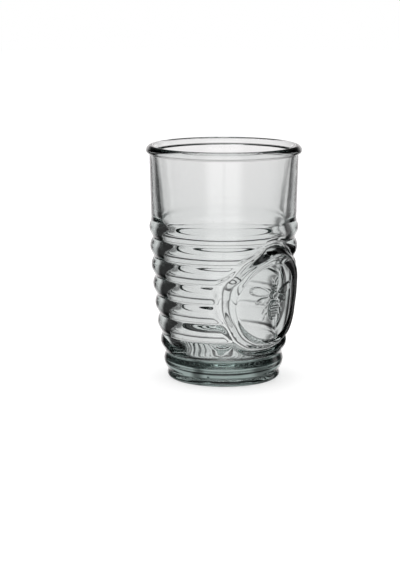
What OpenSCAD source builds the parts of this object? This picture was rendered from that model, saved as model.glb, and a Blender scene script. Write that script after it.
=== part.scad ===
// Pressed drinking glass with a ringed wall and a wax-seal medallion.
// The real thing is one piece of moulded glass. Each zone of the mould is its own
// solid here, and the zones meet face to face.
// The medallion faces -Y. The glass stands on z = 0 with its axis on Z.

/* [Overall] */
// Height of the whole glass
glass_h = 127; // [120:1:140]
// Outer diameter across the rim bead
rim_d = 84; // [80:1:90]
// How far the uppermost ring lies inside the outer edge of the rim bead
shoulder_inset = 1.5; // [0:0.1:2.5]
// Outer diameter that the rings taper to at the foot
foot_d = 62.8; // [58:0.2:66]

/* [Rim and collar] */
// Height of the rim bead
bead_h = 4.4; // [3.6:0.1:5.2]
// How far the bead stands out beyond the collar
bead_overhang = 2.2; // [1.6:0.1:2.8]
// Height of the hollow rounding under the bead
neck_h = 1.8; // [1.2:0.1:2.4]
// How far that rounding reaches out, as a share of the bead's overhang
neck_share = 0.4; // [0.2:0.05:0.6]
// How far the lower end of the smooth collar lies inside the uppermost ring
collar_inset = 0.9; // [0.5:0.1:1.5]

/* [Rings] */
// Number of rings between collar and foot
ring_count = 8; // [6:1:8]
// Height of one ring
ring_pitch = 10.54; // [10:0.02:11]
// Depth of the grooves between the rings
ring_depth = 1.7; // [1:0.1:2.2]
// Share of the wall's taper that is straight, while the rest is curved
taper_share = 0.17; // [0:0.01:0.6]

/* [Inside] */
// Thickness of the wall at the lip, inside the bead
lip_t = 2.5; // [2:0.1:3.2]
// Thickness of the wall at the crest of the uppermost ring
shoulder_t = 6.6; // [5:0.1:8]
// Thickness of the wall at the foot, where it starts to turn into the floor
heel_t = 3.2; // [2.6:0.1:5]
// Thickness of the glass under the middle of the floor
floor_t = 11; // [9:0.5:12.5]
// Height and width of the turn from wall to floor
well_turn = 8; // [6:0.5:10]

/* [Foot] */
// Height of the foot bead
foot_h = 3.7; // [3:0.1:4.4]
// How far the foot bead stands out beyond the groove above it
foot_bead_out = 1; // [0.4:0.1:1.4]
// Width of the rounding from the foot bead to the face it stands on
foot_round = 2.4; // [1.6:0.1:3]
// Depth of the hollow under the foot
punt_h = 1.8; // [1:0.1:2.4]
// Width of the foot from the edge of the hollow under it to the rings' taper
foot_w = 8.4; // [6:0.2:12]

/* [Medallion] */
// Room between the lowest ring and the medallion, as a share of a ring's height
seal_low_share = 0.57; // [0.4:0.01:0.8]
// Room between the medallion and the collar, as a share of a ring's height
seal_top_share = 1; // [0.6:0.05:1.5]
// Width of the raised border, as a share of the medallion's radius
border_share = 0.276; // [0.24:0.01:0.32]
// How far the field's centre lies below the medallion's centre
field_drop = 2.85; // [2:0.05:3.5]
// How far the border stands out beyond the field
border_lift = 1.5; // [0.8:0.1:2]
// How far the field stands out beyond the crests of the rings
field_lift = 0.3; // [0:0.1:1]
// Depth of the medallion's root below the grooves
root_depth = 1; // [0.6:0.1:1.6]

/* [Bee] */
// Span of the bee's wings, as a share of the field's diameter
bee_span_share = 0.75; // [0.6:0.01:0.8]
// Height of the bee's back above the field
bee_lift = 1.1; // [0.6:0.1:1.4]

/* [Hidden] */

// Clearance between a faceted relief and the curved face it sits on
seat_gap = 0.05;
// Overrun of every cut
cut_over = 1;
// Roundness of the turned pieces
turned_fn = 96;
// Straight pieces in the arc of one ring
ring_steps = 8;
// Straight pieces in the arc of the rim bead
bead_steps = 27;
// Straight pieces in each smaller arc
arc_steps = 8;
// Straight pieces in the curved face behind the medallion
root_steps = 12;
// Points round the medallion
seal_points = 72;
// Points round one dome of the bee
bee_points = 20;
// Points round one dome of a leg
limb_points = 10;

// Radius of the wax outline at every 15 degrees, as shares of the mean radius
wax_shares = [
    1.02, 1.03, 1.02, 1.00, 0.985, 1.00, 1.02, 0.955, 0.90, 0.925, 0.922, 1.005,
    0.975, 0.975, 0.982, 1.04, 1.078, 1.045, 1.015, 1.02, 1.07, 1.13, 1.12, 1.06
];
// Places of the medallion's rings of points: in the field, across the border, on the root
field_row_shares = [0.16, 0.32, 0.47, 0.6, 0.72, 0.83, 0.92, 1];
border_row_shares = [0.1, 0.22, 0.38, 0.55, 0.7, 0.85, 1];
root_row_shares = [1, 0.95, 0.9, 0.84, 0.77, 0.69, 0.59, 0.46, 0.3, 0.14];
// Place of the border's crest between field and outline
crest_share = 0.4;
// Length of the bee from head to tail, as a share of its span
bee_len_share = 0.645;
// Head, thorax and abdomen: place along the bee's length, half length and half width as shares
// of it, widening, lift as a share of the bee's, and number of bands
body_shares = [[0.4, 0.085, 0.115, 0, 0.8, 0], [0.2, 0.125, 0.145, 0, 1, 0], [-0.21, 0.29, 0.17, 0.25, 1, 4]];
// Fore and hind wing: place across and half length as shares of the reach, place along and half
// width as shares of the length, tilt, widening, and lift as a share of the bee's
wing_shares = [[0.6, 0.41, 0.33, 0.125, 14, 0.35, 0.55], [0.47, 0.28, 0.09, 0.085, -16, 0.3, 0.45]];
// Three legs and a feeler: place across and along, and the lengths of both halves, as shares of
// the bee's length, with the tilts of both halves
limb_shares = [
    [0.13, 0.03, 0.13, 0.15, -30, 12],
    [0.16, -0.09, 0.13, 0.15, -28, -62],
    [0.15, -0.25, 0.13, 0.15, -40, -74],
    [0.035, 0.52, 0.1, 0.09, 72, 30]
];
// Half width of a leg or feeler, as a share of the bee's length
limb_w_share = 0.022;
// Depth of the abdomen's bands, as a share of its lift
band_share = 0.2;
// Places of a dome's rings of points
dome_row_shares = [0.3, 0.55, 0.75, 0.9, 1];
// Height of a dome's edge, as a share of its lift
dome_edge_share = 0.14;

rim_r = rim_d / 2;
shoulder_r = rim_r - shoulder_inset;
foot_r = foot_d / 2;
collar_top_r = rim_r - bead_overhang;
collar_low_r = shoulder_r - collar_inset;
neck_r = collar_top_r + neck_share * bead_overhang;
mouth_r = collar_top_r - lip_t;
waist_r = shoulder_r - shoulder_t;
well_r = foot_r - heel_t;
punt_r = foot_r - foot_w;

bead_z = glass_h - bead_h;
shoulder_z = foot_h + ring_count * ring_pitch;
base_z = foot_h + ring_pitch;
well_z = base_z + well_turn;
dish_r = well_r - well_turn;
seal_low_z = base_z + seal_low_share * ring_pitch;
seal_top_z = shoulder_z - seal_top_share * ring_pitch;
seal_r = (seal_top_z - seal_low_z) / 2;
seal_z = (seal_top_z + seal_low_z) / 2;
field_r = seal_r * (1 - border_share);
field_z = seal_z - field_drop;
bee_span = 2 * field_r * bee_span_share;
bee_len = bee_span * bee_len_share;

// Radius of the ring crests at height z
function crest_r(z) =
    let (u = (shoulder_z - z) / (shoulder_z - foot_h))
    shoulder_r - (shoulder_r - foot_r) * (taper_share * u + (1 - taper_share) * u * u);

// Depth of the groove next to height z: the one under the collar is shallower
function groove_depth(z) = z > shoulder_z - ring_pitch / 2 ? collar_inset : ring_depth;

// Radius of the groove bottoms at height z
function groove_r(z) = crest_r(z) - groove_depth(z);

// Radius of the face that the medallion's root sits on
function root_r(z) = groove_r(z) - root_depth;

// Radius of the inner wall at height z: straight up to the shoulder, and from there to the lip
function inner_r(z) =
    z < shoulder_z
    ? well_r + (waist_r - well_r) * (z - well_z) / (shoulder_z - well_z)
    : waist_r + (mouth_r - waist_r) * (z - shoulder_z) / (glass_h - shoulder_z);

// Height of a flat arch over its chord, as a share, at place f from 0 to 1
function arch(f) = 1 - pow(2 * f - 1, 2);

// Outline of one ring from groove to groove, without its upper end
function ring_arc(z0) = [
    for (i = [0 : ring_steps - 1])
    let (f = i / ring_steps, z = z0 + f * ring_pitch)
    [groove_r(z) + groove_depth(z) * arch(f), z]
];

// Outline of the rings from number first to number last, counted up from the foot
function ring_profile(first, last) = concat(
    [for (n = [first : last]) each ring_arc(foot_h + n * ring_pitch)],
    [[groove_r(foot_h + (last + 1) * ring_pitch), foot_h + (last + 1) * ring_pitch]]
);

// Quarter or longer arc of an ellipse about c, from angle a to angle b
function arc(c, rx, rz, a, b, steps) = [
    for (i = [0 : steps])
    let (t = a + (b - a) * i / steps)
    c + [rx * cos(t), rz * sin(t)]
];

module turned(points) {
    rotate_extrude($fn = turned_fn) polygon(points);
}

// Foot: the bead that the glass stands on, with a hollow underside
module foot() {
    waist_low_r = groove_r(foot_h);
    out_r = waist_low_r + foot_bead_out;
    mid_z = foot_h / 2;
    hollow = [for (i = [0 : arc_steps]) let (f = i / arc_steps) [punt_r * f, punt_h * (1 - f * f)]];
    lower = arc([out_r - foot_round, mid_z], foot_round, mid_z, -90, 0, arc_steps);
    upper = arc([waist_low_r, mid_z], foot_bead_out, mid_z, 90 / arc_steps, 90, arc_steps - 1);
    color("lightcyan", 0.6) turned(concat([[0, foot_h]], hollow, lower, upper));
}

// Base: the lowest ring, solid right through, with a dished floor
module base() {
    floor_z = floor_t + punt_h;
    dish = [
        for (i = [0 : arc_steps])
        let (f = 1 - i / arc_steps)
        [dish_r * f, floor_z + (base_z - floor_z) * f * f]
    ];
    color("lightcyan", 0.6) turned(concat([[0, foot_h]], ring_profile(0, 0), dish));
}

// Wall with its rings, and with the pocket that the medallion is set in
module ring_wall() {
    turn = arc([dish_r, well_z], well_turn, well_turn, 0, -90, arc_steps);
    inside = concat([[inner_r(shoulder_z), shoulder_z]], turn);
    color("lightcyan", 0.6) difference() {
        turned(concat(ring_profile(1, ring_count - 1), inside));
        seal_pocket();
    }
}

// Smooth collar that the lips touch
module collar() {
    rounding = arc([neck_r, bead_z - neck_h], neck_r - collar_top_r, neck_h, 180, 90, arc_steps);
    color("lightcyan", 0.6) turned(concat(
        [[inner_r(shoulder_z), shoulder_z], [collar_low_r, shoulder_z]],
        rounding,
        [[inner_r(bead_z), bead_z]]
    ));
}

// Rounded bead round the lip
module rim_bead() {
    mid_z = bead_z + bead_h / 2;
    half_w = (rim_r - inner_r(mid_z)) / 2;
    low_turn = -acos((neck_r - rim_r + half_w) / half_w);
    round_over = arc([rim_r - half_w, mid_z], half_w, bead_h / 2, low_turn, 180, bead_steps);
    color("lightcyan", 0.6) turned(concat(
        [[inner_r(bead_z), bead_z], [neck_r, bead_z]],
        round_over
    ));
}

// Value of a closed curve through the wax shares, at angle a
function wax_share(a) =
    let (n = len(wax_shares), p = a * n / 360, i = floor(p), f = p - i)
    let (p0 = wax_shares[(i + n - 1) % n], p1 = wax_shares[i % n])
    let (p2 = wax_shares[(i + 1) % n], p3 = wax_shares[(i + 2) % n])
    p1 + f / 2 * (p2 - p0 + f * (2 * p0 - 5 * p1 + 4 * p2 - p3 + f * (3 * (p1 - p2) + p3 - p0)));

// Outline of the medallion, square to its face
function wax_point(a) = [0, seal_z] + seal_r * wax_share(a) * [cos(a), sin(a)];

// Edge of the sunken field, square to the medallion's face
function field_point(a) = [0, field_z] + field_r * [cos(a), sin(a)];

// Height of the border over the field at place w, from 0 at the field to 1 at the outline
function border_rise(w) =
    w < crest_share
    ? border_lift * (1 - pow(1 - w / crest_share, 2))
    : border_lift - (border_lift + field_lift + ring_depth) * pow((w - crest_share) / (1 - crest_share), 2);

// Point p of the medallion's plane, put on the wall at radius r
function on_wall(p, r) = [p[0], -sqrt(r * r - p[0] * p[0]), p[1]];

// Point of the medallion's surface with the given rise over the field
function on_field(p, rise) = on_wall(p, crest_r(p[1]) + field_lift + rise);

// Point of the medallion's root
function on_root(p) = on_wall(p, root_r(p[1]) + seat_gap);

// Angles of n points round a closed outline
function round_angles(n) = [for (k = [0 : n - 1]) 360 * k / n];

// Faces of a closed stack of rings: a centre point, rows rings of n points, a last centre point
function stack_faces(rows, n) = concat(
    [for (k = [0 : n - 1]) [0, 1 + k, 1 + (k + 1) % n]],
    [
        for (r = [0 : rows - 2], k = [0 : n - 1])
        let (a = 1 + r * n + k, b = 1 + r * n + (k + 1) % n)
        each [[a, a + n, b + n], [a, b + n, b]]
    ],
    [for (k = [0 : n - 1]) let (e = 1 + (rows - 1) * n) [rows * n + 1, e + (k + 1) % n, e + k]]
);

// Outline of the medallion as a prism that runs out through the wall's front
module seal_prism() {
    outline = [for (a = round_angles(seal_points)) wax_point(a)];
    front_r = shoulder_r + field_lift + border_lift;
    rotate([90, 0, 0]) linear_extrude(front_r + cut_over) polygon(outline);
}

// Pocket in the wall: inside the outline and outside the medallion's root
module seal_pocket() {
    low_z = base_z - cut_over;
    high_z = shoulder_z + cut_over;
    root = [
        for (i = [0 : root_steps])
        let (z = low_z + (high_z - low_z) * i / root_steps)
        [root_r(z), z]
    ];
    difference() {
        seal_prism();
        turned(concat([[0, low_z]], root, [[0, high_z]]));
    }
}

// Medallion: a blob of wax pressed by a seal, with a sunken field in a raised border
module medallion() {
    angles = round_angles(seal_points);
    front = concat(
        [on_field([0, field_z], 0)],
        [
            for (q = field_row_shares, a = angles)
            on_field([0, field_z] + q * (field_point(a) - [0, field_z]), 0)
        ],
        [
            for (w = border_row_shares, a = angles)
            on_field(field_point(a) + w * (wax_point(a) - field_point(a)), border_rise(w))
        ]
    );
    back = concat(
        [
            for (q = root_row_shares, a = angles)
            on_root([0, seal_z] + q * (wax_point(a) - [0, seal_z]))
        ],
        [on_root([0, seal_z])]
    );
    rows = len(field_row_shares) + len(border_row_shares) + len(root_row_shares);
    color("paleturquoise", 0.8) polyhedron(concat(front, back), stack_faces(rows, seal_points));
}

// Point of a dome's plan at row t and angle a: an ellipse that widens towards its far end
function dome_plan(at, size, tilt, flare, t, a) =
    let (x = size[0] * t * cos(a), y = size[1] * t * sin(a) * (1 + flare * t * cos(a)))
    at + [x * cos(tilt) - y * sin(tilt), x * sin(tilt) + y * cos(tilt)];

// Share of its lift that a dome has at row t and angle a
function dome_rise(bands, t, a) =
    (1 - band_share * (bands == 0 ? 0 : 0.5 - cos(180 * bands * t * cos(a)) / 2))
    * sqrt(1 - (1 - pow(dome_edge_share, 2)) * t * t);

// One rounded dome of the bee: at and size in the medallion's plane, bands across its length
module dome(at, size, tilt, flare, lift, bands, points) {
    rows = len(dome_row_shares);
    angles = round_angles(points);
    top = [
        for (t = dome_row_shares, a = angles)
        on_field(dome_plan(at, size, tilt, flare, t, a), seat_gap + lift * dome_rise(bands, t, a))
    ];
    under = [
        for (i = [rows - 1 : -1 : 0], a = angles)
        on_field(dome_plan(at, size, tilt, flare, dome_row_shares[i], a), seat_gap)
    ];
    polyhedron(
        concat([on_field(at, seat_gap + lift)], top, under, [on_field(at, seat_gap)]),
        stack_faces(2 * rows, points)
    );
}

// One leg or feeler of the bee: two thin domes, end to end, from at along two tilts
module limb(at, lengths, tilts) {
    half_w = bee_len * limb_w_share;
    knee = at + lengths[0] * [cos(tilts[0]), sin(tilts[0])];
    tip = knee + lengths[1] * [cos(tilts[1]), sin(tilts[1])];
    dome((at + knee) / 2, [lengths[0] / 2, half_w], tilts[0], 0, half_w, 0, limb_points);
    dome((knee + tip) / 2, [lengths[1] / 2, half_w], tilts[1], 0, half_w, 0, limb_points);
}

// Bee seen from above, with spread wings, a banded abdomen, six legs and two feelers
module bee() {
    centre = [0, field_z];
    reach = bee_span / 2;
    color("azure") {
        for (b = body_shares)
            dome(
                centre + bee_len * [0, b[0]], bee_len * [b[1], b[2]],
                90, b[3], bee_lift * b[4], b[5], bee_points
            );
        for (side = [-1, 1]) {
            lean = side > 0 ? 0 : 180;
            for (w = wing_shares)
                dome(
                    centre + [side * reach * w[0], bee_len * w[2]], [reach * w[1], bee_len * w[3]],
                    lean + side * w[4], w[5], bee_lift * w[6], 0, bee_points
                );
            for (p = limb_shares)
                limb(
                    centre + bee_len * [side * p[0], p[1]], bee_len * [p[2], p[3]],
                    [lean + side * p[4], lean + side * p[5]]
                );
        }
    }
}

foot();
base();
ring_wall();
collar();
rim_bead();
medallion();
bee();
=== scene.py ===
# %% [markdown]
# A pressed drinking glass of thick, clear, faintly green recycled glass. It has a rolled bead round
# the lip, a smooth collar, a wall of rings that narrows to a thick base, and one raised medallion like
# a wax seal, with a bee in low relief.
# The real thing is one piece, so the visible glass is one closed skin: light then bends only where
# real glass ends, and not at the joins between the zones that the frame is divided into.
# Everything is in metres, and in the frame of the packed model: +Z up, the medallion facing -Y.
#
# The lesson goes in this order: sizes, the outline, a flat sheet, the tree that rolls and presses it,
# the glass itself, the bee, air seeds, and last the set, the floor and the camera.

import math

import bmesh
import bpy
import numpy as np
from mathutils import Matrix, Vector


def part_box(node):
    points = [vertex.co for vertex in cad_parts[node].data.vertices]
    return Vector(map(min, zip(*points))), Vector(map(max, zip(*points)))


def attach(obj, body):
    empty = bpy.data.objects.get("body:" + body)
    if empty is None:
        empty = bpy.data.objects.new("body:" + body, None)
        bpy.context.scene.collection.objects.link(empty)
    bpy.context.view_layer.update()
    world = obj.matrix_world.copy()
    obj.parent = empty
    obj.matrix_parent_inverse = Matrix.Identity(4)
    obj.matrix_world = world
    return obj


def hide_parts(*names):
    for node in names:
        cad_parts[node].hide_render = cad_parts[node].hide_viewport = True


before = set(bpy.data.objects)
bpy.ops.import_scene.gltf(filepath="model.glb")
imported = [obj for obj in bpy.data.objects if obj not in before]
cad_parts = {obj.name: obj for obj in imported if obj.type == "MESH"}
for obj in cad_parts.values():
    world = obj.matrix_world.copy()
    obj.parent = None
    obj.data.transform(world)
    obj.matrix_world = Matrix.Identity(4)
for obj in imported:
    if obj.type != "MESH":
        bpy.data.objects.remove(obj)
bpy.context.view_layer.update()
scene = bpy.context.scene
scene.view_settings.view_transform = "Standard"
MM = 0.001
print("nodes:", sorted(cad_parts))

# %% [markdown]
# The heights of the zones come from the frame's own boxes, so the skin fits what was packed.
# The other sizes are the maker's: how deep a groove is, how far the bead stands out, and so on.
# A power bends an arc: over 1 it turns round shoulders into slopes, under 1 it squares them, and a
# rolled bead of hot glass is both, sloping above and squarer below.

# %% Sizes of the glass
FOOT_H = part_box("foot")[1].z
BASE_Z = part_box("base")[1].z
SHOULDER_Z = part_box("ring_wall")[1].z
BEAD_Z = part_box("collar")[1].z
GLASS_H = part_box("rim_bead")[1].z

# Outside: bead, collar, rings and their taper.
RIM_R = 42 * MM
BEAD_OVERHANG = 1.8 * MM
COLLAR_LOW_R = 39.3 * MM
BEAD_WIDEST = 0.4
BEAD_UNDER_POWER = 0.7
BEAD_TOP_POWER = 1.18
NECK_W = 0.3 * MM
NECK_H = 0.9 * MM
SHOULDER_R = 40.5 * MM
FOOT_R = 31.4 * MM
TAPER_SHARE = 0.17

# Inside: radius at the lip, at the shoulder and over the floor, the well's turn, the floor's thickness.
MOUTH_R = 37.3 * MM
WAIST_R = 33.9 * MM
WELL_R = 28.2 * MM
WELL_TURN = 8 * MM
FLOOR_T = 11 * MM

# Foot: the bead that it stands on, and the hollow under it, which makers call the punt.
FOOT_BEAD_OUT = 1 * MM
FOOT_ROUND = 2.4 * MM
PUNT_R = 23 * MM
PUNT_H = 1.8 * MM

RING_PITCH = BASE_Z - FOOT_H
RING_COUNT = round((SHOULDER_Z - FOOT_H) / RING_PITCH)
RING_DEPTH = 1.7 * MM
TOP_GROOVE = SHOULDER_R - COLLAR_LOW_R
WELL_Z = BASE_Z + WELL_TURN
BEAD_MID = BEAD_Z + (GLASS_H - BEAD_Z) / 2
print("rings:", RING_COUNT, "pitch in mm:", round(RING_PITCH / MM, 2))

# %% [markdown]
# The medallion is drawn square to its face, as the maker of the mould would: a round blob of wax with
# an uneven outline, and a flat round field pressed into it by the seal. The outline could be sculpted
# by hand. Here it is a closed curve through 24 shares of one radius, so that it can be changed later.

# %% Sizes of the medallion
SEAL_R = 28.6 * MM
SEAL_RISE = 6 * MM
SEAL_Z = BASE_Z + SEAL_RISE + SEAL_R
FIELD_R = 20.7 * MM
FIELD_DROP = 2.85 * MM
FIELD_Z = SEAL_Z - FIELD_DROP
FIELD_LIFT = 0.3 * MM
BORDER_LIFT = 1.5 * MM
CREST_SHARE = 0.4
WAX_SHARES = [
    1.02, 1.03, 1.02, 1.00, 0.985, 1.00, 1.02, 0.955, 0.90, 0.925, 0.922, 1.005,
    0.975, 0.975, 0.982, 1.04, 1.078, 1.045, 1.015, 1.02, 1.07, 1.13, 1.12, 1.06,
]
print("medallion centre in mm:", round(SEAL_Z / MM, 1))

# %% [markdown]
# A glass that is turned on one axis is fixed by its meridian, the outline that would be turned.
# Two rules give it: the crests of the rings follow a curved taper, and the inner wall is two cones.
# Everything that is round in it, such as the bead and the turn of the well, is an arc.

# %% Rules of the meridian
def crest_r(z):
    """Radius of the ring crests at height z."""
    u = (SHOULDER_Z - z) / (SHOULDER_Z - FOOT_H)
    return SHOULDER_R - (SHOULDER_R - FOOT_R) * (TAPER_SHARE * u + (1 - TAPER_SHARE) * u * u)


def inner_r(z):
    """Radius of the inner wall at height z: one straight cone to the shoulder, another to the lip."""
    if z < SHOULDER_Z:
        return WELL_R + (WAIST_R - WELL_R) * (z - WELL_Z) / (SHOULDER_Z - WELL_Z)
    return WAIST_R + (MOUTH_R - WAIST_R) * (z - SHOULDER_Z) / (GLASS_H - SHOULDER_Z)


def arc(centre, rx, rz, start, end, steps, power=1.0):
    """Points of an ellipse's arc, from one angle to another, in degrees."""
    points = []
    for i in range(steps + 1):
        a = math.radians(start + (end - start) * i / steps)
        out = math.copysign(abs(math.cos(a)) ** power, math.cos(a))
        up = math.copysign(abs(math.sin(a)) ** power, math.sin(a))
        points.append((centre[0] + rx * out, centre[1] + rz * up))
    return points


print("top crest and foot crest in mm:", round(crest_r(SHOULDER_Z) / MM, 2), round(crest_r(FOOT_H) / MM, 2))

# %% [markdown]
# The skin starts as a flat sheet, unrolled: one direction is the angle round the glass, the other
# runs along the meridian. Its lines lie close together where the medallion and the bee need them and
# wide apart behind, so that fine relief fits into a mesh of a sensible size. Subdividing a coarse mesh
# would make it just as fine at the back, where nothing needs it.

# %% Lines of the sheet
def spaced(stops):
    """Values from stop to stop: each stop is (value, step up to it from the one before)."""
    values = [stops[0][0]]
    for (low, _), (high, step) in zip(stops, stops[1:]):
        count = max(1, round((high - low) / step))
        values += [low + (high - low) * (i + 1) / count for i in range(count)]
    return values


ANGLES = [math.radians(a) for a in spaced([
    (-180, 3), (-66, 3), (-26, 0.8), (26, 0.37), (66, 0.8), (180, 3),
])]
RING_ZS = [z * MM for z in spaced([
    (FOOT_H / MM, 0.9), (16, 0.65), (34, 0.5), (59, 0.25), (81, 0.5), (SHOULDER_Z / MM, 0.6),
])]
print("lines round the glass:", len(ANGLES), "rows over the rings:", len(RING_ZS))

# %% [markdown]
# The rows follow the meridian once through: from the middle of the hollow under the foot, up the
# outside, over the lip, down the inside, and over the floor to its middle. Both ends lie on the axis,
# so the rolled sheet closes by itself. The angles of each arc are in degrees, with its count of steps.

# %% Rows of the sheet
PUNT_STEPS = 8
FOOT_UNDER_ARC = (-90, 0, 8)
FOOT_UPPER_ARC = (15, 75, 4)
COLLAR_SHARES = (0.03, 0.1, 0.3, 0.5, 0.7, 0.85, 0.92)
NECK_ARC = (175, 95, 5)
BEAD_UNDER_ARC = (-75, -4, 9)
BEAD_TOP_ARC = (3, 90, 15)
BEAD_INNER_ARC = (98, 180, 7)
WALL_ROWS = 8
WALL_GAP = 1 * MM
WELL_ARC = (0, -90, 12)
DISH_STEPS = 7


def outer_rows():
    """Rows from the middle of the foot's hollow, up the outside, to the shoulder."""
    neck_r = crest_r(FOOT_H) - RING_DEPTH
    foot_out_r = neck_r + FOOT_BEAD_OUT
    foot_mid = FOOT_H / 2
    shares = [i / PUNT_STEPS for i in range(PUNT_STEPS + 1)]
    hollow = [(PUNT_R * s, PUNT_H * (1 - s ** 2)) for s in shares]
    under = arc((foot_out_r - FOOT_ROUND, foot_mid), FOOT_ROUND, foot_mid, *FOOT_UNDER_ARC)
    upper = arc((neck_r, foot_mid), FOOT_BEAD_OUT, foot_mid, *FOOT_UPPER_ARC)
    return [(r, z, 0) for r, z in hollow + under + upper] + [(crest_r(z), z, 1) for z in RING_ZS]


def top_rows():
    """Rows of the collar, the neck and the bead."""
    collar_top_r = RIM_R - BEAD_OVERHANG
    collar = [
        (COLLAR_LOW_R + (collar_top_r - COLLAR_LOW_R) * s, SHOULDER_Z + (BEAD_Z - SHOULDER_Z) * s)
        for s in COLLAR_SHARES
    ]
    neck = arc((collar_top_r + NECK_W, BEAD_Z - NECK_H), NECK_W, NECK_H, *NECK_ARC)
    half_w = (RIM_R - inner_r(BEAD_MID)) / 2
    widest = BEAD_Z + (GLASS_H - BEAD_Z) * BEAD_WIDEST
    middle_r = RIM_R - half_w
    bead = arc((middle_r, widest), half_w, widest - BEAD_Z, *BEAD_UNDER_ARC, BEAD_UNDER_POWER)
    bead += arc((middle_r, widest), half_w, GLASS_H - widest, *BEAD_TOP_ARC, BEAD_TOP_POWER)
    bead += arc((middle_r, BEAD_MID), half_w, GLASS_H - BEAD_MID, *BEAD_INNER_ARC)
    return [(r, z, 0) for r, z in collar + neck + bead]


def inner_rows():
    """Rows down the inner wall, round the turn of the well, and over the dished floor."""
    wall = [(inner_r(z), z) for z in np.linspace(BEAD_MID - WALL_GAP, WELL_Z + WALL_GAP, WALL_ROWS)]
    turn = arc((WELL_R - WELL_TURN, WELL_Z), WELL_TURN, WELL_TURN, *WELL_ARC)
    floor_z = FLOOR_T + PUNT_H
    dish_r = WELL_R - WELL_TURN
    shares = [1 - i / DISH_STEPS for i in range(1, DISH_STEPS + 1)]
    dish = [(dish_r * s, floor_z + (BASE_Z - floor_z) * s ** 2) for s in shares]
    return [(r, z, 0) for r, z in wall + turn + dish]


# Each row is (radius, height, 1 where rings and medallion are pressed in, else 0).
ROWS = outer_rows() + top_rows() + inner_rows()
print("sheet:", len(ANGLES), "lines round,", len(ROWS), "rows,",
      2 * (len(ANGLES) - 1) * (len(ROWS) - 1), "triangles")

# %% [markdown]
# The sheet is a plain grid, made from points and faces. Its points don't hold places yet: x is the
# radius, y the angle and z the height, so the grid only looks like glass once it has been rolled up.
# An attribute marks the rows that the rings and the medallion are pressed into.


# %% Make the flat sheet
def flat_sheet(name, rows, angles):
    """Mesh whose points hold (radius, angle, height), with the pressed rows marked."""
    points = [(r, a, z) for r, z, _ in rows for a in angles]
    wide = len(angles)
    faces = []
    for row in range(len(rows) - 1):
        for col in range(wide - 1):
            a = row * wide + col
            faces.append((a, a + 1, a + wide + 1, a + wide))
    mesh = bpy.data.meshes.new(name)
    mesh.from_pydata(points, [], faces)
    press = mesh.attributes.new("press", "FLOAT", "POINT")
    press.data.foreach_set("value", np.repeat([float(p) for _, _, p in rows], wide))
    mesh.polygons.foreach_set("use_smooth", [True] * len(mesh.polygons))
    sheet = bpy.data.objects.new(name, mesh)
    scene.collection.objects.link(sheet)
    return sheet


glass = flat_sheet("glass", ROWS, ANGLES)
print("flat sheet:", len(glass.data.vertices), "points")

# %% [markdown]
# Geometry Nodes roll the sheet up and press it, because rings and border follow rules. A tree of many
# Math nodes is hard to read when each is made by hand, so a small class lets the tree be written as
# sums: every sum adds a node.


# %% A number that the nodes work out for every point
class Field:
    """A value at every point of the mesh. Sums of fields add Math nodes to the tree."""

    def __init__(self, tree, socket):
        self.tree = tree
        self.socket = socket

    def math(self, operation, *others):
        node = self.tree.nodes.new("ShaderNodeMath")
        node.operation = operation
        for slot, value in zip(node.inputs, (self, *others)):
            if isinstance(value, Field):
                self.tree.links.new(value.socket, slot)
            else:
                slot.default_value = value
        return Field(self.tree, node.outputs[0])

    def __add__(self, other):
        return self.math("ADD", other)

    def __sub__(self, other):
        return self.math("SUBTRACT", other)

    def __mul__(self, other):
        return self.math("MULTIPLY", other)

    def __truediv__(self, other):
        return self.math("DIVIDE", other)

    def __pow__(self, other):
        return self.math("POWER", other)

    def __rsub__(self, other):
        return self * -1 + other

    __radd__ = __add__
    __rmul__ = __mul__

    def below(self, other):
        return self.math("LESS_THAN", other)

    def between(self, low, high):
        """0 up to low, 1 from high, and a soft step between."""
        node = self.tree.nodes.new("ShaderNodeMapRange")
        node.interpolation_type = "SMOOTHSTEP"
        for slot, value in (("Value", self), ("From Min", low), ("From Max", high)):
            if isinstance(value, Field):
                self.tree.links.new(value.socket, node.inputs[slot])
            else:
                node.inputs[slot].default_value = value
        return Field(self.tree, node.outputs["Result"])

    def curve(self, shares, low, high):
        """A closed curve through the shares, read at 0 to 1."""
        node = self.tree.nodes.new("ShaderNodeFloatCurve")
        points = node.mapping.curves[0].points
        closed = shares + shares[:1]
        places = [(i / len(shares), (s - low) / (high - low)) for i, s in enumerate(closed)]
        points[0].location, points[1].location = places[0], places[-1]
        for place in places[1:-1]:
            points.new(*place)
        node.mapping.update()
        self.tree.links.new(self.socket, node.inputs["Value"])
        return Field(self.tree, node.outputs[0]) * (high - low) + low


def mix(a, b, share):
    """a where share is 0, b where it is 1."""
    return a + (b - a) * share


print("what a field can do besides sums:", [n for n in vars(Field) if not n.startswith("_")])

# %% [markdown]
# The tree reads radius, angle and height from the flat sheet. Between the grooves each ring is a
# low arch. The medallion is measured square to its face: inside its outline the field and the
# border rise, and just outside the rings die away into a shallow moat, as pressed glass flows.
# Cutting the field and the border with booleans would leave sharp seams that glass never has.

# %% Sizes that the pressing tree takes
SIZES = {
    "Foot height": FOOT_H,
    "Ring pitch": RING_PITCH,
    "Ring depth": RING_DEPTH,
    "Top groove depth": TOP_GROOVE,
    "Top groove start": SHOULDER_Z - RING_PITCH / 2,
    "Groove softness": 0.14,
    "Medallion height": SEAL_Z,
    "Medallion radius": SEAL_R,
    "Field radius": FIELD_R,
    "Field drop": FIELD_DROP,
    "Field lift": FIELD_LIFT,
    "Border lift": BORDER_LIFT,
    "Border crest": CREST_SHARE,
    "Moat width": 3.0 * MM,
    "Wax unevenness": 0.35 * MM,
    "Wax grain": 75.0,
    "Wax seed": 4.0,
}
SHARE_RANGE = (0.85, 1.15)
WAX_DETAIL = 1.0
MERGE_DIST = 0.002 * MM
print("inputs of the pressing tree:", len(SIZES))


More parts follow.
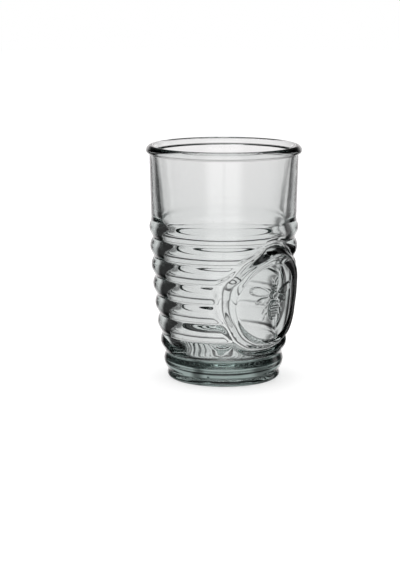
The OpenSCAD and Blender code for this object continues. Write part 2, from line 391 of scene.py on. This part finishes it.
def input_fields(tree, sizes):
    """Named inputs of a tree, with their sizes as defaults, as fields."""
    tree.interface.new_socket("Geometry", in_out="INPUT", socket_type="NodeSocketGeometry")
    for name, value in sizes.items():
        socket = tree.interface.new_socket(name, in_out="INPUT", socket_type="NodeSocketFloat")
        socket.default_value = value
    tree.interface.new_socket("Geometry", in_out="OUTPUT", socket_type="NodeSocketGeometry")
    source = tree.nodes.new("NodeGroupInput")
    fields = {name: Field(tree, source.outputs[name]) for name in sizes}
    return source.outputs["Geometry"], fields


def link_parts(tree, parts):
    """One vector from three fields."""
    vector = tree.nodes.new("ShaderNodeCombineXYZ")
    for slot, part in zip(vector.inputs, parts):
        tree.links.new(part.socket, slot)
    return vector.outputs[0]


def end_tree(tree, geometry):
    """Leads the geometry to the tree's output."""
    end = tree.nodes.new("NodeGroupOutput")
    tree.links.new(geometry, end.inputs["Geometry"])
    return tree


def chain(tree, geometry, *steps):
    """Runs the geometry through nodes: each step is (node type, {input: value or field})."""
    for kind, values in steps:
        node = tree.nodes.new(kind)
        inlet = next(s for s in node.inputs if s.type == "GEOMETRY")
        tree.links.new(geometry, inlet)
        for name, value in values.items():
            if isinstance(value, Field):
                tree.links.new(value.socket, node.inputs[name])
            else:
                node.inputs[name].default_value = value
        geometry = node.outputs[0]
    return geometry


def ring_drop(size, z):
    """How far the wall lies below the crests, between 0 on a crest and 1 in a groove."""
    f = ((z - size["Foot height"]) / size["Ring pitch"]).math("FRACT")
    to_groove = 1 - (f * 2 - 1).math("ABSOLUTE")
    soft = size["Groove softness"]
    eased = (to_groove ** 2 + soft ** 2).math("SQRT") - soft
    full = (soft ** 2 + 1).math("SQRT") - soft
    return (1 - eased / full) ** 2


# %% Tree that rolls and presses the glass
def press_tree():
    """Tree that turns (radius, angle, height) into places on the pressed glass."""
    tree = bpy.data.node_groups.new("roll_and_press", "GeometryNodeTree")
    geometry, size = input_fields(tree, SIZES)
    position = tree.nodes.new("GeometryNodeInputPosition")
    parts = tree.nodes.new("ShaderNodeSeparateXYZ")
    tree.links.new(position.outputs[0], parts.inputs[0])
    r, angle, z = (Field(tree, s) for s in parts.outputs)
    named = tree.nodes.new("GeometryNodeInputNamedAttribute")
    named.data_type = "FLOAT"
    named.inputs["Name"].default_value = "press"
    press = Field(tree, named.outputs["Attribute"])

    across = (r + size["Field lift"]) * angle.math("SINE")
    up = z - size["Medallion height"]
    far = (across * across + up * up).math("SQRT")
    turn = (up.math("ARCTAN2", across) / math.tau + 1).math("FRACT")
    edge = turn.curve(WAX_SHARES, *SHARE_RANGE) * size["Medallion radius"]
    sine, cosine = up / far, across / far
    drop = size["Field drop"]
    field_edge = (size["Field radius"] ** 2 - (drop * cosine) ** 2).math("SQRT") - drop * sine
    place = (far - field_edge) / (edge - field_edge)

    crest = size["Border crest"]
    climb = (place / crest).math("MINIMUM", 1).math("MAXIMUM", 0)
    fall = place.between(crest, 1)
    whole_fall = size["Border lift"] + size["Field lift"] + size["Ring depth"]
    rise = size["Border lift"] * (1 - (1 - climb) ** 2) - whole_fall * fall

    noise = tree.nodes.new("ShaderNodeTexNoise")
    noise.noise_dimensions = "4D"
    noise.inputs["Detail"].default_value = WAX_DETAIL
    tree.links.new(link_parts(tree, (across, up, fall * 0)), noise.inputs["Vector"])
    tree.links.new(size["Wax grain"].socket, noise.inputs["Scale"])
    tree.links.new(size["Wax seed"].socket, noise.inputs["W"])
    bumps = (Field(tree, noise.outputs[0]) - 0.5) * size["Wax unevenness"] * 2
    on_border = climb * (1 - fall)
    medallion_r = r + size["Field lift"] + rise + bumps * on_border

    in_front = angle.math("COSINE").math("GREATER_THAN", 0)
    standing = (far - edge).between(0, size["Moat width"]).math("MAXIMUM", 1 - in_front)
    at_top = z.math("GREATER_THAN", size["Top groove start"])
    half_ring = size["Ring pitch"] / 2
    from_shoulder = ((size["Top groove start"] - z) / half_ring + 1).between(0, 1)
    height = mix(1 - ring_drop(size, z), from_shoulder, at_top) * standing
    depth = mix(size["Ring depth"], size["Top groove depth"], at_top)
    ring_r = r - depth * (1 - height)
    pressed_r = mix(ring_r, medallion_r, place.below(1) * in_front)
    final_r = mix(r, pressed_r, press)

    rolled = link_parts(tree, (final_r * angle.math("SINE"), final_r * angle.math("COSINE") * -1, z))
    geometry = chain(
        tree, geometry,
        ("GeometryNodeSetPosition", {"Position": Field(tree, rolled)}),
        ("GeometryNodeMergeByDistance", {"Distance": MERGE_DIST}),
        ("GeometryNodeSetShadeSmooth", {"Shade Smooth": True}),
        ("GeometryNodeRealizeInstances", {}),
        ("GeometryNodeSetMaterial", {"Material": bpy.data.materials["pressed_glass"]}),
    )
    return end_tree(tree, geometry)


# %% [markdown]
# Clear glass is a clear surface round a volume that soaks up a little light. A tint on the surface
# would colour thin and thick glass alike. The volume does it as real glass does: thin walls look
# white, and light that travels far inside, along a wall or through the base, turns grey-green.
# Pressed recycled glass is also faintly wavy, so a soft bump bends the highlights. The hollow under
# the foot has uneven rings from the mould, which show through the thick base.

# %% Clear glass
WHITE = (1, 1, 1, 1)
GLASS_IOR = 1.52
GLASS_TINT = (0.63, 0.70, 0.685, 1)
GLASS_DENSITY = 50.0
WAVE_SCALE = 60.0
WAVE_DETAIL = 3.0
WAVE_DEPTH = 0.08 * MM
MOST_ROUGH = 0.03
RIPPLE_STEP = 3.4 * MM
RIPPLE_DEPTH = 0.18 * MM
RIPPLE_WANDER = 1.5
RIPPLE_REACH = 0.95 * FOOT_R
RIPPLE_TOP = 1.05 * PUNT_H


def glass_material():
    """Clear, faintly wavy glass whose volume soaks up light, with mould ripples under the foot."""
    material = bpy.data.materials.new("pressed_glass")
    material.use_nodes = True
    tree = material.node_tree
    tree.nodes.clear()
    surface = tree.nodes.new("ShaderNodeBsdfPrincipled")
    surface.inputs["Base Color"].default_value = WHITE
    surface.inputs["Transmission Weight"].default_value = 1.0
    surface.inputs["IOR"].default_value = GLASS_IOR
    place = tree.nodes.new("ShaderNodeTexCoord")
    waves = tree.nodes.new("ShaderNodeTexNoise")
    waves.inputs["Scale"].default_value = WAVE_SCALE
    waves.inputs["Detail"].default_value = WAVE_DETAIL
    bump = tree.nodes.new("ShaderNodeBump")
    bump.inputs["Distance"].default_value = MM
    parts = tree.nodes.new("ShaderNodeSeparateXYZ")
    tree.links.new(place.outputs["Object"], parts.inputs[0])
    x, y, z = (Field(tree, s) for s in parts.outputs)
    wave = Field(tree, waves.outputs[0])
    out_from_axis = (x * x + y * y).math("SQRT")
    ripples = ((out_from_axis / RIPPLE_STEP + wave * RIPPLE_WANDER) * math.tau).math("SINE")
    under = out_from_axis.below(RIPPLE_REACH) * z.below(RIPPLE_TOP)
    height = wave * (WAVE_DEPTH / MM) + ripples * under * (RIPPLE_DEPTH / MM)
    film = tree.nodes.new("ShaderNodeMapRange")
    film.inputs["To Min"].default_value = 0.0
    film.inputs["To Max"].default_value = MOST_ROUGH
    volume = tree.nodes.new("ShaderNodeVolumeAbsorption")
    volume.inputs["Color"].default_value = GLASS_TINT
    volume.inputs["Density"].default_value = GLASS_DENSITY
    out = tree.nodes.new("ShaderNodeOutputMaterial")
    for source, target in (
        (place.outputs["Object"], waves.inputs["Vector"]),
        (height.socket, bump.inputs["Height"]),
        (waves.outputs[0], film.inputs["Value"]),
        (film.outputs["Result"], surface.inputs["Roughness"]),
        (bump.outputs["Normal"], surface.inputs["Normal"]),
        (surface.outputs["BSDF"], out.inputs["Surface"]),
        (volume.outputs["Volume"], out.inputs["Volume"]),
    ):
        tree.links.new(source, target)
    return material


clear_glass = glass_material()
print("material:", clear_glass.name, "IOR", GLASS_IOR, "tint", GLASS_TINT[:3])

# %% [markdown]
# The sheet is now rolled and pressed. The result becomes a plain mesh and the modifier goes, because
# the bee and the air seeds are still to come, and they work on finished points. Then the skin's faces
# are turned outwards, and its edges are counted: a closed skin has two faces at every edge.

# %% Roll and press the glass
NEEDLE = 0.0005 * MM


def run_tree(obj, tree, sizes):
    """Runs a tree on the object and keeps the result as its mesh."""
    modifier = obj.modifiers.new(tree.name, "NODES")
    modifier.node_group = tree
    for item in tree.interface.items_tree:
        if item.item_type == "SOCKET" and item.in_out == "INPUT" and item.name in sizes:
            modifier[item.identifier] = sizes[item.name]
    seen = obj.evaluated_get(bpy.context.evaluated_depsgraph_get())
    made = bpy.data.meshes.new_from_object(seen)
    obj.modifiers.remove(modifier)
    obj.data = made
    made.name = obj.name


def tidy_skin(mesh):
    """Makes the skin's faces point out of the glass, and says whether it is closed."""
    work = bmesh.new()
    work.from_mesh(mesh)
    bmesh.ops.dissolve_degenerate(work, dist=NEEDLE, edges=work.edges)
    bmesh.ops.recalc_face_normals(work, faces=work.faces)
    if work.calc_volume(signed=True) < 0:
        bmesh.ops.reverse_faces(work, faces=work.faces)
    open_edges = sum(1 for e in work.edges if len(e.link_faces) != 2)
    volume = work.calc_volume(signed=True)
    work.to_mesh(mesh)
    work.free()
    return open_edges, volume


pressing = press_tree()
print("pressing tree:", len(pressing.nodes), "nodes")
run_tree(glass, pressing, SIZES)
open_edges, volume = tidy_skin(glass.data)
print("glass:", len(glass.data.vertices), "points,", open_edges, "open edges,",
      round(volume / MM ** 3 / 1000, 1), "cm3 of glass")

# %% [markdown]
# The bee is low relief, pressed by the seal: head, thorax and banded abdomen, two pairs of wings, six
# legs and two feelers. Each is a dome over an ellipse, given in shares of the bee's own length and
# reach. Where domes overlap the higher one shows, and every point of the skin under a dome is lifted.
# Separate domes laid on the glass would be hidden faces inside it, and light would bend at them.

# %% Sizes of the bee
BEE_SPAN = 31 * MM
BEE_LEN = 20 * MM
BEE_LIFT = 1.6 * MM
# Head, thorax and abdomen: place up the bee, half length, half width, flare, height, bands.
BODY_SHARES = [
    (0.4, 0.085, 0.115, 0, 0.8, 0),
    (0.2, 0.125, 0.145, 0, 1, 0),
    (-0.21, 0.29, 0.17, 0.25, 1, 4),
]
# Fore and hind wing: place out and half length along the reach, place up, half width, tilt, flare, height.
WING_SHARES = [
    (0.6, 0.41, 0.33, 0.125, 14, 0.35, 0.55),
    (0.47, 0.28, 0.09, 0.085, -16, 0.3, 0.45),
]
# Three legs and a feeler: place out and up, length of both joints, tilt of both joints.
LIMB_SHARES = [
    (0.13, 0.03, 0.13, 0.15, -30, 12),
    (0.16, -0.09, 0.13, 0.15, -28, -62),
    (0.15, -0.25, 0.13, 0.15, -40, -74),
    (0.035, 0.52, 0.1, 0.09, 72, 30),
]
LIMB_W_SHARE = 0.03
LIMB_LIFT_SHARE = 0.9
EDGE_W = 0.65 * MM
EDGE_SHARE = 0.85
BAND_SHARE = 0.42
BAND_W_SHARE = 0.28
BEE_LEAST_R = 34.5 * MM
print("bee in mm:", round(BEE_SPAN / MM, 1), "across the wings,", round(BEE_LEN / MM, 1), "long")

# %% Height of the bee
def dome(x, y, at, size, tilt, flare=0.0, lift=1.0, bands=0):
    """Height of one dome at each point (x, y) of the field; 0 outside its ellipse.
    It climbs steeply at its edge and is nearly flat on top."""
    turn = math.radians(tilt)
    along = ((x - at[0]) * math.cos(turn) + (y - at[1]) * math.sin(turn)) / size[0]
    aside = ((y - at[1]) * math.cos(turn) - (x - at[0]) * math.sin(turn)) / size[1]
    aside = aside / (1 + flare * along)
    inside = np.clip(1 - along ** 2 - aside ** 2, 0, None)
    inwards = (1 - np.sqrt(1 - inside)) * min(size) / EDGE_W
    steep = np.clip(inwards, 0, 1)
    height = lift * (EDGE_SHARE * steep * steep * (3 - 2 * steep) + (1 - EDGE_SHARE) * np.sqrt(inside))
    if bands:
        furrow = np.abs(np.mod(along * bands / 2 + 0.5, 1) - 0.5) * 2
        height = height * (1 - BAND_SHARE * np.exp(-(furrow / BAND_W_SHARE) ** 2))
    return height


def bee_height(x, y):
    """Height of the bee over the field at points (x, y) measured from the field's centre."""
    reach = BEE_SPAN / 2
    thin = BEE_LEN * LIMB_W_SHARE
    height = np.zeros_like(x)
    for up, long, wide, flare, lift, bands in BODY_SHARES:
        size = (BEE_LEN * long, BEE_LEN * wide)
        part = dome(x, y, (0, BEE_LEN * up), size, 90, flare, BEE_LIFT * lift, bands)
        height = np.maximum(height, part)
    for side in (-1, 1):
        lean = 0 if side > 0 else 180
        for out, long, up, wide, tilt, flare, lift in WING_SHARES:
            at = (side * reach * out, BEE_LEN * up)
            size = (reach * long, BEE_LEN * wide)
            wing = dome(x, y, at, size, lean + side * tilt, flare, BEE_LIFT * lift)
            height = np.maximum(height, wing)
        for out, up, thigh, shin, first, second in LIMB_SHARES:
            at = Vector((side * BEE_LEN * out, BEE_LEN * up))
            for long, tilt in ((thigh, first), (shin, second)):
                turn = math.radians(lean + side * tilt)
                step = Vector((math.cos(turn), math.sin(turn))) * BEE_LEN * long
                size = (step.length / 2 + thin / 2, thin)
                limb = dome(x, y, at + step / 2, size, math.degrees(turn), 0, thin * LIMB_LIFT_SHARE)
                height = np.maximum(height, limb)
                at = at + step
    return height


middle = np.zeros(1)
print("bee's height at the field's middle, in mm:", round(bee_height(middle, middle)[0] / MM, 2))


# %% Press the bee into the field
def press_bee(mesh):
    """Lifts the points of the field outwards by the height of the bee."""
    co = np.empty(len(mesh.vertices) * 3)
    mesh.vertices.foreach_get("co", co)
    co = co.reshape(-1, 3)
    r = np.hypot(co[:, 0], co[:, 1])
    front = (co[:, 1] < 0) & (r > BEE_LEAST_R) & (co[:, 2] < SHOULDER_Z)
    lift = np.zeros(len(co))
    lift[front] = bee_height(co[front, 0], co[front, 2] - FIELD_Z)
    co[:, :2] *= (1 + lift / np.maximum(r, MM))[:, None]
    mesh.vertices.foreach_set("co", co.ravel())
    mesh.update()
    return int((lift > 0).sum()), float(lift.max())


lifted, highest = press_bee(glass.data)
print("bee:", lifted, "points lifted, up to", round(highest / MM, 2), "mm")

# %% [markdown]
# Recycled glass holds a few air seeds. Points are strewn between the inner wall and the grooves, each
# with its own depth and size, and every one gets a small round cavity, whose faces look inwards.
# Most are tiny, because the share that sets the size is raised to a power. A fixed draw gives the same
# seeds every time.

# %% Sizes of the air seeds
SEED_SIZES = {
    "Count": 26.0,
    "Low": 5 * MM,
    "High": SHOULDER_Z - 4 * MM,
    "Floor top": FLOOR_T,
    "Wall low radius": WELL_R,
    "Wall top radius": WAIST_R,
    "Groove low radius": FOOT_R - RING_DEPTH,
    "Groove top radius": SHOULDER_R - RING_DEPTH,
    "Smallest": 0.1 * MM,
    "Largest": 0.34 * MM,
    "Draw": 5.0,
}
DRAW_STEP = 10
DEPTH_LOW = 0.3
DEPTH_SPREAD = 0.5
CORE_SHARE = 0.2
SEED_SUBDIVISIONS = 2
SEED_FACES = 20 * 4 ** (SEED_SUBDIVISIONS - 1)
print("air seeds from", SEED_SIZES["Smallest"] / MM, "to", SEED_SIZES["Largest"] / MM, "mm in radius")


# %% Strew the air seeds
def random_field(tree, draw, number):
    """An even random share from 0 to 1 for every point; each number gives another draw."""
    node = tree.nodes.new("FunctionNodeRandomValue")
    node.data_type = "FLOAT"
    tree.links.new((draw * DRAW_STEP + number).socket, node.inputs["Seed"])
    return Field(tree, next(s for s in node.outputs if s.type == "VALUE"))


def seed_tree():
    """Tree that strews small cavities in the wall and in the base."""
    tree = bpy.data.node_groups.new("air_seeds", "GeometryNodeTree")
    _, size = input_fields(tree, SEED_SIZES)
    draw = size["Draw"]
    climb, turn, depth, big = (random_field(tree, draw, n) for n in range(4))
    z = mix(size["Low"], size["High"], climb)
    up = (z / size["High"]).math("MINIMUM", 1)
    solid = z.below(size["Floor top"])
    wall_r = mix(size["Wall low radius"], size["Wall top radius"], up)
    inner = mix(wall_r, size["Wall low radius"] * CORE_SHARE, solid)
    groove = mix(size["Groove low radius"], size["Groove top radius"], up)
    r = mix(inner, groove, depth * DEPTH_SPREAD + DEPTH_LOW)
    angle = turn * math.tau
    spot = link_parts(tree, (r * angle.math("SINE"), r * angle.math("COSINE"), z))
    points = tree.nodes.new("GeometryNodePoints")
    tree.links.new(size["Count"].socket, points.inputs["Count"])
    tree.links.new(spot, points.inputs["Position"])
    ball = tree.nodes.new("GeometryNodeMeshIcoSphere")
    ball.inputs["Radius"].default_value = 1.0
    ball.inputs["Subdivisions"].default_value = SEED_SUBDIVISIONS
    scale = mix(size["Smallest"], size["Largest"], big ** 3)
    geometry = chain(
        tree, points.outputs[0],
        ("GeometryNodeInstanceOnPoints", {"Scale": scale}),
        ("GeometryNodeRealizeInstances", {}),
        ("GeometryNodeFlipFaces", {}),
        ("GeometryNodeSetShadeSmooth", {"Shade Smooth": True}),
        ("GeometryNodeSetMaterial", {"Material": bpy.data.materials["pressed_glass"]}),
    )
    instances = next(n for n in tree.nodes if n.bl_idname == "GeometryNodeInstanceOnPoints")
    tree.links.new(ball.outputs[0], instances.inputs["Instance"])
    return end_tree(tree, geometry)


def join_into(target, other):
    """Adds the other object's mesh to the target's, and removes the other object."""
    work = bmesh.new()
    work.from_mesh(target.data)
    work.from_mesh(other.data)
    work.to_mesh(target.data)
    work.free()
    bpy.data.objects.remove(other)


seeds = bpy.data.objects.new("air_seeds", bpy.data.meshes.new("air_seeds"))
scene.collection.objects.link(seeds)
run_tree(seeds, seed_tree(), SEED_SIZES)
print("air seeds:", len(seeds.data.polygons) // SEED_FACES)
join_into(glass, seeds)
print("glass:", len(glass.data.polygons), "faces,",
      sum(len(p.vertices) - 2 for p in glass.data.polygons), "triangles")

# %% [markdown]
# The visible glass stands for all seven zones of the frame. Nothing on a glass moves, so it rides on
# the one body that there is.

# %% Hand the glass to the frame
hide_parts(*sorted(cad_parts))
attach(glass, "root")

# %% [markdown]
# Glass shows what is round it, so the set matters as much as the material. The camera itself sees plain
# white. Rays that only passed through the glass see a white backdrop. It ends a little above eye level
# and, steeply below, in a thin dark strip before the table: those edges draw the thin dark lines in the
# rings and round the medallion. Two soft dark strips upright in it give the collar its shading.
# Rays that were thrown back inside the glass see wide white cards, behind and in front, with dark gaps
# between them, and one narrow card at the side, which lights the right half of the pressed field.
# Every level is a brightness of 1 or less, with a faint warm tint that balances the green of the glass.

# %% Set: sizes in degrees, and brightnesses
PHOTO_TURN = -43.5
CARD_TINT = (1, 0.975, 0.98, 1)
CARD_COUNT = 2
CARD_HALF_WIDTH = 29.0
CARD_SOFTNESS = 10.0
CARD_SLIT = (1.5, 4.0)
SLIT_LIGHT = 0.72
GAP_LIGHT = 0.04
SIDE_CARD_TURN = -61.0
SIDE_CARD_EDGE = (3.0, 12.0)
SIDE_CARD_LIGHT = 0.8
DARK = 0.09
TABLE_LIGHT = 0.85
CARD_TABLE_LIGHT = 0.45
SHADE_LIGHT = 0.25
SHADE_EDGE = (30.0, 60.0)
STRIPS = [(33.0, 5.0, 15.0), (-19.0, 1.0, 7.0)]
STRIP_LIGHT = 0.3
TABLE_EDGE = (-53.0, -51.0)
BACKDROP_FOOT = (-46.0, -42.5)
BACKDROP_TOP = (4.0, 10.0)
CEILING_EDGE = (15.0, 19.0)
CEILING_LIGHT = 0.9
CARD_CEILING = 0.05
CARD_TABLE_EDGE = (-58.0, -38.0)
CARD_FOOT = (-34.0, -22.0)
CARD_TOP = (6.0, 18.0)
print("backdrop from", BACKDROP_FOOT, "to", BACKDROP_TOP, "degrees with", len(STRIPS), "dark strips;",
      CARD_COUNT, "wide cards and one narrow card at", SIDE_CARD_TURN, "degrees")

# %% [markdown]
# A photographer would hang cloth and hold up cards. Here the set is a sum: the brightness of the world
# is worked out from the direction that a ray leaves in. One rule gives the brightness by height over
# the horizon, and two more use it, for light that passed through and for light that was thrown back.
# The world isn't sampled as a lamp, because the rays that leave the glass find its light anyway.


# %% Set: rules of brightness
def degrees_from(turn, middle):
    """Degrees round the glass between a direction and the middle of a card."""
    share = ((turn - math.radians(middle)) / math.tau + 1.5).math("FRACT") - 0.5
    return share.math("ABSOLUTE") * 360


def upright(climb, table, table_edge, foot, top, ceiling):
    """Brightness by height over the horizon: table, dark strip, white card, dark strip, ceiling."""
    below = mix(table, DARK, climb.between(*table_edge))
    above = mix(DARK, ceiling, climb.between(*CEILING_EDGE))
    return mix(mix(below, 1, climb.between(*foot)), above, climb.between(*top))


def backdrop_light(turn, climb):
    """Brightness for light that only passed through: a backdrop all round with two dark strips,
    over a table that is shaded behind the glass."""
    table = mix(SHADE_LIGHT, TABLE_LIGHT, degrees_from(turn, 0).between(*SHADE_EDGE))
    level = upright(climb, table, TABLE_EDGE, BACKDROP_FOOT, BACKDROP_TOP, CEILING_LIGHT)
    for middle, half_width, edge in STRIPS:
        level = level * mix(STRIP_LIGHT, 1, degrees_from(turn, middle).between(half_width, edge))
    return level


def card_light(turn, climb):
    """Brightness for light that was thrown back in the glass: white cards with dark gaps."""
    lobe = (turn / (math.tau / CARD_COUNT) + CARD_COUNT + 0.5).math("FRACT") - 0.5
    degrees = lobe.math("ABSOLUTE") * (360 / CARD_COUNT)
    gap = degrees.between(CARD_HALF_WIDTH - CARD_SOFTNESS, CARD_HALF_WIDTH + CARD_SOFTNESS)
    level = mix(mix(SLIT_LIGHT, 1, degrees.between(*CARD_SLIT)), GAP_LIGHT, gap)
    level = mix(SIDE_CARD_LIGHT, level, degrees_from(turn, SIDE_CARD_TURN).between(*SIDE_CARD_EDGE))
    return upright(climb, CARD_TABLE_LIGHT, CARD_TABLE_EDGE, CARD_FOOT, CARD_TOP, CARD_CEILING) * level


print("directions are measured from", PHOTO_TURN, "degrees, behind the glass as the camera sees it")


# %% Set: the white world
def white_world():
    """World that is plain white to the camera and to the floor, and the set to light in the glass."""
    world = bpy.data.worlds.new("studio")
    scene.world = world
    world.use_nodes = True
    world.cycles.sampling_method = "NONE"
    tree = world.node_tree
    tree.nodes.clear()
    parts = tree.nodes.new("ShaderNodeSeparateXYZ")
    tree.links.new(tree.nodes.new("ShaderNodeTexCoord").outputs["Generated"], parts.inputs[0])
    x, y, z = (Field(tree, s) for s in parts.outputs)
    path = tree.nodes.new("ShaderNodeLightPath")
    back = Field(tree, path.outputs["Glossy Depth"]).math("GREATER_THAN", 0.5)
    plain = Field(tree, path.outputs["Is Camera Ray"]) + Field(tree, path.outputs["Is Diffuse Ray"])
    climb = z.math("ARCTAN2", (x * x + y * y).math("SQRT")) * (180 / math.pi)
    turn = y.math("ARCTAN2", x) - math.radians(90 + PHOTO_TURN)
    level = mix(mix(backdrop_light(turn, climb), card_light(turn, climb), back), 1, plain)
    light = tree.nodes.new("ShaderNodeBackground")
    warm = tree.nodes.new("ShaderNodeMix")
    warm.data_type = "RGBA"
    warm.inputs["A"].default_value = CARD_TINT
    warm.inputs["B"].default_value = WHITE
    tree.links.new(plain.socket, warm.inputs["Factor"])
    tree.links.new(warm.outputs["Result"], light.inputs["Color"])
    tree.links.new(level.socket, light.inputs["Strength"])
    out = tree.nodes.new("ShaderNodeOutputWorld")
    tree.links.new(light.outputs[0], out.inputs["Surface"])
    return len(tree.nodes)


print("world nodes:", white_world())

# %% [markdown]
# The floor is white too. Half of its white shines by itself, so the camera sees no horizon, and the
# other half is lit, so a soft shadow stays under the glass. One wide softbox hangs over the glass.
# Light is bent and thrown back many times in thick glass, so rays are followed for many bounces.

# %% Set: floor and lamp
FLOOR_R = 3.0
FLOOR_CORNERS = 96
FLOOR_GAP = 0.02 * MM
FLOOR_GLOW = 0.5
FLOOR_PAINT = (0.5, 0.5, 0.5, 1)
LAMP_PLACE = (0.1, 0.2, 1.4)
LAMP_AIM = (0, 0, 0.05)
LAMP_SIZE = 1.2
LAMP_POWER = 11
THROUGH_BOUNCES = 24
GLOSSY_BOUNCES = 12


def floor_material():
    """Half painted white, half shining white."""
    material = bpy.data.materials.new("white_floor")
    material.use_nodes = True
    tree = material.node_tree
    tree.nodes.clear()
    paint = tree.nodes.new("ShaderNodeBsdfDiffuse")
    paint.inputs["Color"].default_value = FLOOR_PAINT
    glow = tree.nodes.new("ShaderNodeEmission")
    glow.inputs["Color"].default_value = WHITE
    glow.inputs["Strength"].default_value = FLOOR_GLOW
    both = tree.nodes.new("ShaderNodeAddShader")
    tree.links.new(paint.outputs[0], both.inputs[0])
    tree.links.new(glow.outputs[0], both.inputs[1])
    out = tree.nodes.new("ShaderNodeOutputMaterial")
    tree.links.new(both.outputs[0], out.inputs["Surface"])
    return material


def round_floor():
    """Flat disc that the camera and the shadow see, and the light in the glass doesn't."""
    mesh = bpy.data.meshes.new("floor")
    turns = [math.tau * i / FLOOR_CORNERS for i in range(FLOOR_CORNERS)]
    ring = [(FLOOR_R * math.cos(a), FLOOR_R * math.sin(a), 0) for a in turns]
    mesh.from_pydata(ring, [], [tuple(range(FLOOR_CORNERS))])
    obj = bpy.data.objects.new("floor", mesh)
    obj.location.z = -FLOOR_GAP
    scene.collection.objects.link(obj)
    obj.data.materials.append(floor_material())
    obj.visible_glossy = False
    obj.visible_transmission = False
    return obj


def softbox():
    """Wide lamp over the glass, turned towards its foot."""
    light = bpy.data.lights.new("top_softbox", "AREA")
    light.size = LAMP_SIZE
    light.energy = LAMP_POWER
    obj = bpy.data.objects.new("top_softbox", light)
    obj.location = LAMP_PLACE
    obj.rotation_euler = (Vector(LAMP_AIM) - Vector(LAMP_PLACE)).to_track_quat("-Z", "Y").to_euler()
    scene.collection.objects.link(obj)
    return obj


floor = round_floor()
top = softbox()
scene.cycles.max_bounces = THROUGH_BOUNCES
scene.cycles.transmission_bounces = THROUGH_BOUNCES
scene.cycles.glossy_bounces = GLOSSY_BOUNCES
print("floor: radius in m", FLOOR_R, "lamp:", top.data.energy, "W")

# %% [markdown]
# The camera stands where the photo's camera stood: the ellipses of rim and foot fix its height and
# distance, and the medallion's place on the wall fixes how far the glass is turned.

# %% Camera
CAMERA_D = 1.0
CAMERA_H = 0.2367
CAMERA_PITCH = 0.1845
CAMERA_YAW = 0.0129
FOCAL_PX = 1865
PHOTO_H_PX = 570
SENSOR = 36.0


def photo_camera():
    """Camera at the photo's distance, height and turn, with its upright field of view."""
    data = bpy.data.cameras.new("camera")
    data.sensor_width = SENSOR
    data.lens = FOCAL_PX / PHOTO_H_PX * SENSOR
    camera = bpy.data.objects.new("camera", data)
    scene.collection.objects.link(camera)
    scene.camera = camera
    forward = Vector((
        -math.sin(CAMERA_YAW) * math.cos(CAMERA_PITCH),
        math.cos(CAMERA_YAW) * math.cos(CAMERA_PITCH),
        -math.sin(CAMERA_PITCH),
    ))
    spin = Matrix.Rotation(math.radians(PHOTO_TURN), 4, "Z")
    camera.location = spin @ Vector((0, -CAMERA_D, CAMERA_H))
    camera.rotation_euler = (spin @ forward).to_track_quat("-Z", "Y").to_euler()
    return camera


camera = photo_camera()
print("camera at", [round(c, 3) for c in camera.location], "lens", round(camera.data.lens, 1))

# %% [markdown]
